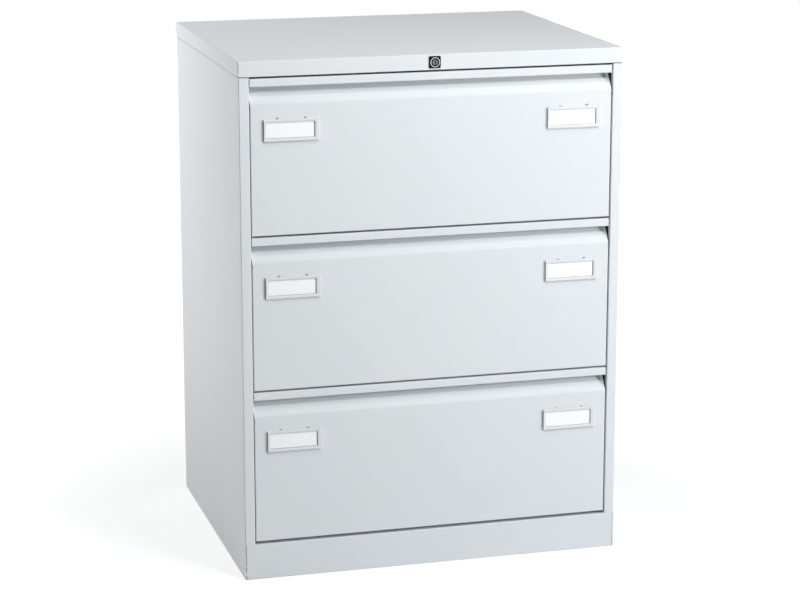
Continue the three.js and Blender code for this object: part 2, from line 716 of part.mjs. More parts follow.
function addCarcass(cabinet) {
  addPiece(cabinet, 'top_panel', topPanel(), GREY_PAINT);
  addPiece(cabinet, 'left_side_panel', sidePanel(-1), GREY_PAINT);
  addPiece(cabinet, 'right_side_panel', sidePanel(1), GREY_PAINT);
  addPiece(cabinet, 'back_panel', backPanel(), GREY_PAINT);
  addPiece(cabinet, 'base_panel', basePanel(), GREY_PAINT);
  addPiece(cabinet, 'plinth_front', plinthFront(), GREY_PAINT);
  for (const { name, x, y } of footPlaces()) {
    const place = new THREE.Group();
    place.position.set(x, y, 0);
    addPiece(place, name, levellingFoot(), BLACK_PLASTIC);
    cabinet.add(place);
  }
}

function addLabel(drawer, name, side) {
  const place = new THREE.Group();
  const x = side * (frontHalf - HOLDER_INSET - HOLDER_LENGTH / 2);
  place.position.set(x, 0, frontHeight - HOLDER_DROP - HOLDER_HEIGHT / 2);
  addPiece(place, `${name}_label_holder`, labelHolder(), HOLDER_PLASTIC);
  addPiece(place, `${name}_label_card`, labelCard(), CARD_STOCK);
  drawer.add(place);
}

function addDrawer(cabinet, name, index) {
  const drawer = new THREE.Group();
  drawer.position.z = drawerBase(index);
  const trayMiddle = (trayFront + trayRear) / 2;
  addPiece(drawer, `${name}_drawer_front`, drawerFront(), GREY_PAINT);
  addPiece(drawer, `${name}_drawer_tray`, drawerTray(), GREY_PAINT);
  addPiece(drawer, `${name}_front_hanging_rail`, hangingRail(trayMiddle - RAIL_SPACING / 2), ZINC_PLATE);
  addPiece(drawer, `${name}_rear_hanging_rail`, hangingRail(trayMiddle + RAIL_SPACING / 2), ZINC_PLATE);
  for (const [sideName, side] of [['left', -1], ['right', 1]]) {
    const label = `${name}_${sideName}`;
    addPiece(drawer, `${label}_runner_outer`, runnerOuter(side), ZINC_PLATE);
    addPiece(drawer, `${label}_runner_middle`, runnerMiddle(side), ZINC_PLATE);
    addPiece(drawer, `${label}_runner_inner`, runnerInner(side), ZINC_PLATE);
    addLabel(drawer, label, side);
  }
  cabinet.add(drawer);
}

function addLock(cabinet) {
  const lock = new THREE.Group();
  lock.position.z = lockHeight;
  addPiece(lock, 'lock_escutcheon', lockEscutcheon(), BLACK_PLASTIC);
  addPiece(lock, 'lock_barrel', lockBarrel(), CHROME);
  addPiece(lock, 'lock_plug', lockPlug(), BLACK_STEEL);
  addPiece(lock, 'lock_cam', lockCam(), ZINC_PLATE);
  addPiece(lock, 'lock_link', lockLink(), ZINC_PLATE);
  addPiece(lock, 'lock_bar', lockBar(), ZINC_PLATE);
  addPiece(lock, 'lock_link_guide', lockLinkGuide(), BLACK_PLASTIC);
  addPiece(lock, 'lock_bar_guide', lockBarGuide(), BLACK_PLASTIC);
  cabinet.add(lock);
}

// The group's local Y is depth behind the front face. The label holders are what stands proud of it.
const cabinet = new THREE.Group();
cabinet.position.y = (frontProud - CABINET_DEPTH) / 2;
addCarcass(cabinet);
addLock(cabinet);
DRAWER_NAMES.forEach((name, index) => addDrawer(cabinet, name, index));

export default cabinet;
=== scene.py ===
"""Looks of a three-drawer side filing cabinet made of folded, powder-coated sheet steel.

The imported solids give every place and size. This file lays finer sheet metal, mouldings and turned
parts over them, gives each its finish, and sets up the studio it is seen in. Lengths are in mm
unless a comment says otherwise.
"""

import logging
import math
from dataclasses import dataclass, replace
from enum import Enum, StrEnum
from typing import Callable, NamedTuple, Sequence

import bmesh
import bpy
from mathutils import Matrix, Vector


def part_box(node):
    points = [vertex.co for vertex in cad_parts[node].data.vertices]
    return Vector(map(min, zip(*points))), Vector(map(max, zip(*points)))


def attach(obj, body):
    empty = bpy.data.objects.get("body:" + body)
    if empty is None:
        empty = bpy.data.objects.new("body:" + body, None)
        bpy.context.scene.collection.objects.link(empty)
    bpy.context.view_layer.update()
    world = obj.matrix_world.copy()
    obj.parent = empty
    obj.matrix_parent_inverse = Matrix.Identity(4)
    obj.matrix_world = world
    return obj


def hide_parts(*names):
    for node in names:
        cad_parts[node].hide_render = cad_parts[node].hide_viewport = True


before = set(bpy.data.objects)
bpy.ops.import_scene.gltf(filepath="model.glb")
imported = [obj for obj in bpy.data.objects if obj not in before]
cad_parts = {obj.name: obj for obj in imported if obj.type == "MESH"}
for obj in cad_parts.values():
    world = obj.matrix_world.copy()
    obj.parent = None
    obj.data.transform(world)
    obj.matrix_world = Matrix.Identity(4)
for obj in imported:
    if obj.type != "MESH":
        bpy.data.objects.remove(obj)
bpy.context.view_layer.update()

Mesh = bmesh.types.BMesh
Tree = bpy.types.NodeTree
Pair = tuple[Vector, Vector]  # a point on a sheet's face and the one behind it
Place = Callable[[float, float, float], Vector]  # puts a piece's own measures into the cabinet
Keep = Callable[[Vector, float], bool]  # tells whether a slab of a sheet is there

LOG = logging.getLogger("filing_cabinet")
MM = 0.001  # metres
SHEET = 1.0  # gauge of every folded panel
BEND = 1.0  # inside radius of a plain fold
FACET = math.radians(15.0)  # most that one facet of a bend turns
FEWEST = 2  # facets of a slight bend
STRAIGHT = FACET / 100  # a corner that turns less than this is no bend
QUARTER = 6  # facets of a quarter turn
ROUND = 48  # facets of a turned piece
EASE = 0.2  # width of a softened edge
EASE_FACETS = 2  # of such an edge
SHARP = math.radians(50.0)  # an edge that turns more than this is softened


class Side(StrEnum):
    """Left or right of a person who faces the drawers."""

    LEFT = "left"
    RIGHT = "right"

    @property
    def sign(self) -> int:
        """Returns the side's direction along X."""
        return 1 if self is Side.RIGHT else -1


class End(StrEnum):
    """Front or rear of the cabinet or of a drawer."""

    FRONT = "front"
    REAR = "rear"


class Level(StrEnum):
    """One of the three drawers."""

    BOTTOM = "bottom"
    MIDDLE = "middle"
    TOP = "top"


class Grain(Enum):
    """Axis that the streaks of a rolled or drawn strip run along."""

    WIDTH = 0
    DEPTH = 1
    HEIGHT = 2


# Colours and shader nodes


def linear(code: str) -> tuple[float, float, float, float]:
    """Turns an sRGB hex value into the linear colour that a shader needs.

    Args:
        code: a hash sign and six hex digits.

    Returns:
        Red, green and blue, and a full alpha.
    """
    parts = [int(code[k:k + 2], 16) / 255 for k in (1, 3, 5)]
    red, green, blue = (p / 12.92 if p <= 0.04045 else ((p + 0.055) / 1.055) ** 2.4 for p in parts)
    return red, green, blue, 1.0


def add_node(
    tree: Tree, kind: str, values: dict | None = None, links: dict | None = None, **settings: object
) -> bpy.types.Node:
    """Adds a node with its settings and links.

    Args:
        tree: the tree that gets it.
        kind: the node's type name.
        values: what its input sockets hold, by name or number.
        links: the output sockets that feed its inputs, by name or number.
        settings: properties of the node itself.

    Returns:
        The new node.
    """
    node = tree.nodes.new(kind)
    for name, value in settings.items():
        setattr(node, name, value)
    for socket, value in (values or {}).items():
        node.inputs[socket].default_value = value
    for socket, source in (links or {}).items():
        tree.links.new(source, node.inputs[socket])
    return node


# Finishes


@dataclass(frozen=True)
class Finish:
    """What a surface is made of and how it was finished.

    Attributes:
        name: common name of the material and its process.
        slot: name of a material slot; not used.
        colour: base colour, sRGB.
        second: colour that the first one drifts to, sRGB.
        roughness: middle of the roughness range.
        spread: how far the roughness strays to either side.
        grit: size of the bumps.
        relief: height of the bumps.
        metallic: 1 for bare metal.
        drift: size of the colour's patches.
        ior: index of refraction; a metal keeps the shader's own.
        grain: the axis that streaks run along, if it has any.
        stretch: how many times longer than wide a streak is.
        octaves: layers of ever finer spots in a pattern.
    """

    name: str
    slot: str
    colour: str
    second: str
    roughness: float
    spread: float
    grit: float
    relief: float
    metallic: float = 0.0
    drift: float = 160.0
    ior: float = 1.5
    grain: Grain | None = None
    stretch: float = 40.0
    octaves: float = 2.0

    def material(self) -> bpy.types.Material:
        """Returns the finish as a material, made the first time it is asked for."""
        made = bpy.data.materials.get(self.name)
        if made is None:
            made = bpy.data.materials.new(self.name)
            made.use_nodes = True
            self._lay(made.node_tree)
        return made

    def _spots(self, tree: Tree, size: float) -> bpy.types.NodeSocket:
        """Adds a pattern of spots or streaks that is fixed to the piece.

        Args:
            tree: the material's tree.
            size: how wide one spot or streak is.

        Returns:
            The pattern's output.
        """
        scale = 1 / (size * MM)
        where = add_node(tree, "ShaderNodeTexCoord").outputs["Object"]
        if self.grain is not None:
            pull = [scale] * 3
            pull[self.grain.value] /= self.stretch
            drawn = add_node(tree, "ShaderNodeMapping", {"Scale": pull}, {"Vector": where})
            where, scale = drawn.outputs["Vector"], 1.0
        values = {"Scale": scale, "Detail": self.octaves}
        return add_node(tree, "ShaderNodeTexNoise", values, {"Vector": where}).outputs["Fac"]

    def _lay(self, tree: Tree) -> None:
        """Wires the drift of colour, the uneven gloss and the bumps.

        Args:
            tree: the material's tree.
        """
        shader = tree.nodes["Principled BSDF"]
        shader.inputs["Metallic"].default_value = self.metallic
        if not self.metallic:
            shader.inputs["IOR"].default_value = self.ior
        drift = self._spots(tree, self.drift)
        colours = {6: linear(self.colour), 7: linear(self.second)}
        tint = add_node(tree, "ShaderNodeMix", colours, {0: drift}, data_type="RGBA")
        grit = self._spots(tree, self.grit)
        limits = {3: self.roughness - self.spread, 4: self.roughness + self.spread}
        gloss = add_node(tree, "ShaderNodeMapRange", limits, {0: grit})
        bump = add_node(tree, "ShaderNodeBump", {"Distance": self.relief * MM}, {"Height": grit})
        feeds = {"Base Color": tint.outputs[2], "Roughness": gloss.outputs[0], "Normal": bump.outputs[0]}
        for socket, source in feeds.items():
            tree.links.new(source, shader.inputs[socket])


# A thick even skin with a soft gloss: broad highlights, and a fine orange peel that is drawn about
# three times coarser than it is so that it does not fall between the picture's dots.
POWDER_COAT = Finish(
    "powder_coated_steel", "grey_paint", "#D9DDE0", "#D5DADD",
    roughness=0.42, spread=0.05, grit=2.4, relief=0.012,
)
# The same coat over inside faces that nobody rubs down: a little duller, and its colour a shade darker as
# painted shade for the insides.
INNER_COAT_PAINTED_SHADE = Finish(
    "powder_coated_inner_steel_painted_shade", "grey_paint", "#D3D9DD", "#CFD5D9",
    roughness=0.5, spread=0.06, grit=2.6, relief=0.015,
)
# Bright zinc over drawn strip: a pale metal with faint lengthwise streaks.
ZINC_DEPTHWISE = Finish(
    "zinc_plated_drawn_steel", "zinc_plate", "#B9BCC0", "#A9ADB3",
    roughness=0.34, spread=0.08, grit=1.2, relief=0.006, metallic=1.0, drift=9.0, grain=Grain.DEPTH,
)
# The same zinc over flat bar and over upright strip: a trace duller, streaked the other ways.
ZINC_WIDTHWISE = replace(ZINC_DEPTHWISE, name="zinc_plated_flat_bar", roughness=0.36, grain=Grain.WIDTH)
ZINC_UPRIGHT = replace(ZINC_WIDTHWISE, name="zinc_plated_upright_strip", grain=Grain.HEIGHT)
# Moulded plastic with a fine spark-eroded grain, drawn coarser than it is.
HOLDER_PLASTIC = Finish(
    "moulded_grey_plastic", "holder_plastic", "#DADEE1", "#D6DADE",
    roughness=0.4, spread=0.04, grit=0.9, relief=0.008, drift=40.0,
)
# Uncoated card: no gloss, the faintest fibre.
CARD = Finish(
    "uncoated_white_card", "card_stock", "#F6F8FA", "#F2F4F6",
    roughness=0.85, spread=0.05, grit=0.7, relief=0.01, drift=3.0,
)
# Bright chrome on a die-cast barrel: mirrors the studio, with a trace of handling.
CHROME = Finish(
    "chromed_die_casting", "lock_chrome", "#D4D7DA", "#C8CCD0",
    roughness=0.12, spread=0.05, grit=1.5, relief=0.002, metallic=1.0, drift=4.0,
)
# Dull nickel on the plug: a darker grey than the barrel's chrome.
NICKEL = Finish(
    "nickel_plated_die_casting", "lock_chrome", "#8A8D90", "#7E8185",
    roughness=0.3, spread=0.06, grit=1.0, relief=0.003, metallic=1.0, drift=4.0,
)
# Black moulded plastic: black, with a grain that leaves little sheen.
BLACK_PLASTIC = Finish(
    "moulded_black_plastic", "black_plastic", "#0C0D0E", "#111213",
    roughness=0.55, spread=0.06, grit=0.9, relief=0.01, drift=20.0, ior=1.2,
)
# Chemically blackened steel: dark, with a dull metal gleam.
BLACK_STEEL = Finish(
    "blackened_steel", "lock_steel", "#3A3B3E", "#303134",
    roughness=0.42, spread=0.08, grit=0.8, relief=0.006, metallic=0.9, drift=6.0,
)


# Mesh making


class Box(NamedTuple):
    """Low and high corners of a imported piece."""

    low: Vector
    high: Vector

    @property
    def middle(self) -> Vector:
        """Returns the point halfway between the corners."""
        return (self.low + self.high) / 2


def box_mm(node: str) -> Box:
    """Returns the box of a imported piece, by its name."""
    low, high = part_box(node)
    return Box(low / MM, high / MM)


FRONT = box_mm("top_panel").low.y  # plane of the cabinet's face


def right_of(way: Vector) -> Vector:
    """Returns the flat direction a quarter turn to the right of another."""
    return Vector((way.y, -way.x))


def quarter_turn(facets: int = QUARTER) -> list[float]:
    """Returns the angles at which a quarter turn's facets meet."""
    return [math.pi / 2 * k / facets for k in range(facets + 1)]


def folded(path: Sequence[Sequence[float]], sheet: float = SHEET) -> list[Pair]:
    """Works out a folded sheet's section, with the sheet on the right of its line.

    Args:
        path: corners of the face line before bending, each with an inside radius if it isn't a
            plain fold.
        sheet: the gauge.

    Returns:
        Face and reverse points in order along the sheet.
    """
    corners = [Vector(spot[:2]) for spot in path]
    ways = [(after - before).normalized() for before, after in zip(corners, corners[1:])]
    line = [(corners[0], corners[0] + right_of(ways[0]) * sheet)]
    for spot, corner, before, after in zip(path[1:], corners[1:], ways, ways[1:]):
        turn = math.atan2(before.cross(after), before.dot(after))
        if abs(turn) < STRAIGHT:
            line.append((corner, corner + right_of(before) * sheet))
            continue
        hollow = spot[2] if len(spot) > 2 else BEND
        near = hollow if turn > 0 else hollow + sheet
        far = near + math.copysign(sheet, turn)
        out = right_of(before) * math.copysign(1, turn)
        centre = corner - before * near * math.tan(abs(turn) / 2) - out * near
        steps = max(FEWEST, math.ceil(abs(turn) / FACET))
        for k in range(steps + 1):
            ray = Matrix.Rotation(turn * k / steps, 2) @ out
            line.append((centre + ray * near, centre + ray * far))
    line.append((corners[-1], corners[-1] + right_of(ways[-1]) * sheet))
    return line


class SlabMesh:
    """Closed skin gathered from six-sided slabs; a wall that two slabs share drops out."""

    GRID = 1e-3  # corners nearer than this are one corner

    def __init__(self) -> None:
        """Starts with no slabs."""
        self.corners: dict[tuple[int, ...], int] = {}
        self.points: list[Vector] = []
        self.walls: dict[frozenset[int], tuple[int, ...]] = {}

    def _corner(self, point: Vector) -> int:
        """Finds or adds a corner.

        Args:
            point: where it is.

        Returns:
            Its number.
        """
        key = tuple(round(value / self.GRID) for value in point)
        if key not in self.corners:
            self.corners[key] = len(self.points)
            self.points.append(point)
        return self.corners[key]

    def slab(self, face: Sequence[Vector], back: Sequence[Vector]) -> None:
        """Adds a slab.

        Args:
            face: four corners round its face.
            back: the corners behind them.
        """
        near = [self._corner(point) for point in face]
        far = [self._corner(point) for point in back]
        rings = [near, far]
        rings += [[near[k - 1], far[k - 1], far[k], near[k]] for k in range(4)]
        for ring in rings:
            loop = tuple(dict.fromkeys(ring))
            if len(loop) > 2 and self.walls.pop(frozenset(loop), None) is None:
                self.walls[frozenset(loop)] = loop

    def block(self, low: Sequence[float], high: Sequence[float]) -> None:
        """Adds a plain block.

        Args:
            low: its low corner.
            high: its high corner.
        """
        around = ((low[0], low[1]), (high[0], low[1]), (high[0], high[1]), (low[0], high[1]))
        self.slab(*([Vector((*spot, z)) for spot in around] for z in (high[2], low[2])))

    def sheet(
        self, line: Sequence[Pair], levels: Sequence[float], place: Place, keep: Keep | None = None
    ) -> None:
        """Adds a folded sheet drawn out along its folds.

        Args:
            line: the sheet's section.
            levels: where it starts, is divided and stops along the folds.
            place: puts a section's two measures and a level into the cabinet.
            keep: tells by the middle of a slab's face and of its level whether it is there.
        """
        for start, stop in zip(line, line[1:]):
            for low, high in zip(levels, levels[1:]):
                if keep and not keep((start[0] + stop[0]) / 2, (low + high) / 2):
                    continue
                around = ((start, low), (stop, low), (stop, high), (start, high))
                self.slab(*([place(*pair[k], level) for pair, level in around] for k in (0, 1)))

    def mesh(self) -> Mesh:
        """Returns the skin as a mesh in metres."""
        made = bmesh.new()
        corners = [made.verts.new(point * MM) for point in self.points]
        for loop in self.walls.values():
            made.faces.new([corners[k] for k in loop])
        loose = [corner for corner in made.verts if not corner.link_faces]
        bmesh.ops.delete(made, geom=loose, context="VERTS")
        return made


def rounded_outline(
    low: Sequence[float], high: Sequence[float], radii: Sequence[float]
) -> list[Vector]:
    """Draws a rectangle with rounded corners.

    Args:
        low: its lower left corner.
        high: its upper right corner.
        radii: of the corners, round from the lower left by the lower right.

    Returns:
        Flat points, anticlockwise.
    """
    points = []
    for turn, radius in enumerate(radii):
        across = high[0] - radius if turn in (1, 2) else low[0] + radius
        over = high[1] - radius if turn > 1 else low[1] + radius
        for bend in quarter_turn():
            angle = math.pi * (1 + turn / 2) + bend
            points.append(Vector((across + radius * math.cos(angle), over + radius * math.sin(angle))))
    return points


def upright(plan: Sequence[Vector], y: float) -> list[Vector]:
    """Returns a flat outline stood up at a depth, facing the front."""
    return [Vector((spot.x, y, spot.y)) for spot in plan]


def facing_front(middle: Vector) -> Place:
    """Returns how to place what is turned about a line from front to rear."""
    return lambda x, z, y: Vector((middle.x + x, y, middle.z + z))


def loft(rings: Sequence[Sequence[Vector]], wrap: bool = False, made: Mesh | None = None) -> Mesh:
    """Draws a skin through rings of equally many points.

    Args:
        rings: in order.
        wrap: joins the last ring to the first, instead of filling both.
        made: the mesh that gets the skin; a new one if none is given.

    Returns:
        The mesh.
    """
    made = bmesh.new() if made is None else made
    loops = [[made.verts.new(point * MM) for point in ring] for ring in rings]
    for near, far in zip(loops, loops[1:] + (loops[:1] if wrap else [])):
        for k in range(len(near)):
            made.faces.new((near[k - 1], near[k], far[k], far[k - 1]))
    if not wrap:
        made.faces.new(loops[0])
        made.faces.new(loops[-1])
    return made


def turned(
    profile: Sequence[Sequence[float]], place: Place, wrap: bool = False, made: Mesh | None = None
) -> Mesh:
    """Draws a turned shape.

    Args:
        profile: radius and place along the axis, in order.
        place: puts two measures across the axis and one along it into the cabinet.
        wrap: closes the profile on itself, for a ring.
        made: the mesh that gets the shape; a new one if none is given.

    Returns:
        The mesh.
    """
    angles = [2 * math.pi * k / ROUND for k in range(ROUND)]
    rings = [[place(r * math.cos(a), r * math.sin(a), along) for a in angles] for r, along in profile]
    return loft(rings, wrap, made)


# Pieces


def put(name: str, data: bpy.types.ID) -> bpy.types.Object:
    """Puts a new object into the scene.

    Args:
        name: the object's name.
        data: what it holds.

    Returns:
        The object.
    """
    thing = bpy.data.objects.new(name, data)
    bpy.context.scene.collection.objects.link(thing)
    return thing


def put_mesh(name: str, mesh: Mesh) -> bpy.types.Object:
    """Puts a mesh into the scene, with its faces turned outwards.

    Args:
        name: the object's name.
        mesh: its shape; used up.

    Returns:
        The object.
    """
    bmesh.ops.recalc_face_normals(mesh, faces=mesh.faces)
    data = bpy.data.meshes.new(name)
    mesh.to_mesh(data)
    mesh.free()
    return put(name, data)


def carved(stock: Mesh, tool: Mesh) -> Mesh:
    """Cuts one closed mesh out of another.

    Args:
        stock: what is cut; used up.
        tool: what is taken away; used up.

    Returns:
        What is left.
    """
    things = [put_mesh("carving", mesh) for mesh in (stock, tool)]
    cut = things[0].modifiers.new("cut", "BOOLEAN")
    cut.object = things[1]
    cut.solver = "EXACT"
    left = bmesh.new()
    left.from_object(things[0], bpy.context.evaluated_depsgraph_get())
    for thing in things:
        bpy.data.meshes.remove(thing.data)  # the object goes with it
    return left


def ease_edges(thing: bpy.types.Object, width: float, weld: bool = False) -> None:
    """Softens a piece's sharp edges and keeps its flats evenly shaded.

    Args:
        thing: the piece.
        width: of the softened edges; none if 0.
        weld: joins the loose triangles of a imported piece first.
    """
    if weld:
        thing.modifiers.new("joined_triangles", "WELD").merge_threshold = MM * SlabMesh.GRID
    if width:
        soft = thing.modifiers.new("eased_edges", "BEVEL")
        soft.width = width * MM
        soft.segments = EASE_FACETS
        soft.limit_method = "ANGLE"
        soft.angle_limit = SHARP
        soft.use_clamp_overlap = False
    thing.modifiers.new("even_flats", "WEIGHTED_NORMAL")


def make_piece(
    name: str, body: str, finish: Finish, mesh: Mesh, stands_for: Sequence[str] = (), edge: float = EASE
) -> None:
    """Turns a mesh into a piece that rides on a body.

    Args:
        name: the piece's name.
        body: the body it rides on.
        finish: its finish.
        mesh: its shape; used up.
        stands_for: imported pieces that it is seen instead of.
        edge: width of the softened edges; none if 0.
    """
    thing = put_mesh(name, mesh)
    thing.data.shade_smooth()
    thing.data.materials.append(finish.material())
    ease_edges(thing, edge)
    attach(thing, body)
    if stands_for:
        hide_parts(*stands_for)
    LOG.info("%s: %d faces on %s, %s", name, len(thing.data.polygons), body, finish.name)


def dress(node: str, finish: Finish) -> None:
    """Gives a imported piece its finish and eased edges.

    Args:
        node: the piece's name.
        finish: its finish.
    """
    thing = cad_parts[node]
    for slot in thing.material_slots:
        slot.material = finish.material()
    ease_edges(thing, EASE, weld=True)
    LOG.info("%s: packed piece, %s", node, finish.name)


# Carcass


@dataclass
class Cap:
    """Top panel: a shallow tray of sheet laid upside down on the carcass."""

    edge_radius: float = 2.0  # of the upper edge
    corner_radius: float = 2.5  # in plan
    foot_radius: float = 0.8  # of the lower edge
    hem: float = 2.0  # the lip's lower edge, from its face
    turn_in: float = 12.0  # flanges below the sides and the rear

    def build(self) -> None:
        """Makes the cap and drills it for the lock."""
        low, high = box_mm("top_panel")

        def ring(inset: float, turned_in: float, height: float) -> list[Vector]:
            """Draws the plan a way in from the outside.

            Args:
                inset: from the front.
                turned_in: from the sides and the rear.
                height: of the ring.

            Returns:
                The ring's points.
            """
            radius = max(self.corner_radius - inset, self.foot_radius / 2)
            plan = rounded_outline(
                (low.x + turned_in, low.y + inset), (high.x - turned_in, high.y - turned_in), [radius] * 4
            )
            return [Vector((*spot, height)) for spot in plan]

        rings = [
            ring(SHEET, SHEET, high.z - SHEET),
            ring(SHEET, SHEET, low.z + SHEET),
            ring(self.hem, self.turn_in, low.z + SHEET),
            ring(self.hem, self.turn_in, low.z),
        ]
        for angle in quarter_turn():
            inset = self.foot_radius * (1 - math.sin(angle))
            rings.append(ring(inset, inset, low.z + self.foot_radius * (1 - math.cos(angle))))
        for angle in quarter_turn():
            inset = self.edge_radius * (1 - math.cos(angle))
            rings.append(ring(inset, inset, high.z - self.edge_radius * (1 - math.sin(angle))))
        hole = [(Lock.hole, low.y - SHEET), (Lock.hole, low.y + 2 * SHEET)]
        drill = turned(hole, facing_front(box_mm("lock_escutcheon").middle))
        make_piece("cap_sheet", "cabinet", POWDER_COAT, carved(loft(rings), drill), ["top_panel"], 0)


@dataclass
class SidePanel:
    """Side of the carcass, folded at the front into a stile and its return."""

    side: Side
    stile: float = 20.0  # width beside the drawers
    stile_return: float = 10.0  # folded back from the stile
    rear_flange: float = 15.0  # this and the flanges above and below, turned in
    flange_front: float = 45.0  # from the face to those flanges
    flange_rear: float = 20.0  # and from the rear
    shadow_gap: float = 1.0  # more below the cap, so that the joint shows as the line it is

    def build(self) -> None:
        """Makes the panel, with its corner open beside the plinth."""
        node = f"{self.side}_side_panel"
        low, high = box_mm(node)
        top = high.z - self.shadow_gap
        face = max(abs(low.x), abs(high.x))
        depth = high.y - low.y
        plinth_top = box_mm("plinth_front").high.z
        line = folded([
            (face - self.rear_flange, depth),
            (face, depth),
            (face, 0),
            (face - self.stile, 0),
            (face - self.stile, self.stile_return),
        ])

        def place(across: float, back: float, height: float) -> Vector:
            """Returns a point of the panel's plan at a height."""
            return Vector((self.side.sign * across, FRONT + back, height))

        def keep(spot: Vector, height: float) -> bool:
            """Returns whether a slab is clear of the plinth."""
            return height > plinth_top or spot.y > self.stile_return or spot.x > face - SHEET

        panel = SlabMesh()
        panel.sheet(line, [0, plinth_top, top], place, keep)
        inner = face - SHEET
        for height in (0, top - SHEET):
            corners = (
                place(inner - self.rear_flange, self.flange_front, height),
                place(inner, depth - self.flange_rear, height + SHEET),
            )
            panel.block([min(pair) for pair in zip(*corners)], [max(pair) for pair in zip(*corners)])
        make_piece(f"{self.side}_side_sheet", "cabinet", POWDER_COAT, panel.mesh(), [node])


@dataclass
class Plinth:
    """Panel below the bottom drawer, folded back above and below."""

    turn_back: float = 20.0
    end_gap: float = 0.6  # more at each end, so that the joint shows as the line it is

    def build(self) -> None:
        """Makes the plinth."""
        low, high = box_mm("plinth_front")
        line = folded([(self.turn_back, 0), (0, 0), (0, high.z), (self.turn_back, high.z)])
        panel = SlabMesh()
        ends = [low.x + self.end_gap, high.x - self.end_gap]
        panel.sheet(line, ends, lambda back, up, x: Vector((x, FRONT + back, up)))
        make_piece("plinth_sheet", "cabinet", POWDER_COAT, panel.mesh(), ["plinth_front"])


@dataclass
class LevellingFoot:
    """Screw foot: a moulded pad round the head of a threaded stud."""

    end: End
    side: Side
    pitch: float = 1.5
    thread: float = 0.8  # depth
    thread_step: int = 6  # rings to a turn
    thread_facets: int = 24
    stud_radius: float = 5.0
    pad_edge: float = 5.0
    pad_height: float = 9.0
    pad_top: float = 12.0  # radius
    soft: float = 0.8

    def build(self) -> None:
        """Makes the pad and its stud."""
        name = f"{self.end}_{self.side}"
        node = f"{name}_foot"
        body = f"{name}_leveller"
        box = box_mm(node)
        low, high = box
        centre = box.middle
        radius = (high.x - low.x) / 2

        def place(x: float, y: float, z: float) -> Vector:
            """Returns a point of the foot in the cabinet."""
            return Vector((centre.x + x, centre.y + y, z))

        profile = [
            (radius - self.soft, low.z),
            (radius, low.z + self.soft),
            (radius, low.z + self.pad_edge - self.soft),
            (radius - self.soft, low.z + self.pad_edge),
            (self.pad_top + self.soft, low.z + self.pad_height - self.soft),
            (self.pad_top - self.soft, low.z + self.pad_height),
        ]
        make_piece(f"{name}_pad", body, BLACK_PLASTIC, turned(profile, place), [node], 0)
        start = low.z + self.pad_height - self.soft
        count = math.floor((high.z - start) / self.pitch * self.thread_step)
        rings = []
        for k in range(count + 1):
            height = start + k * (high.z - start) / count
            ring = []
            for j in range(self.thread_facets):
                turn = j / self.thread_facets
                angle = 2 * math.pi * turn
                wave = abs((height / self.pitch - turn) % 1 * 2 - 1)
                reach = self.stud_radius - self.thread * wave
                ring.append(place(reach * math.cos(angle), reach * math.sin(angle), height))
            rings.append(ring)
        make_piece(f"{name}_stud", body, ZINC_UPRIGHT, loft(rings), (), 0)


# Drawers


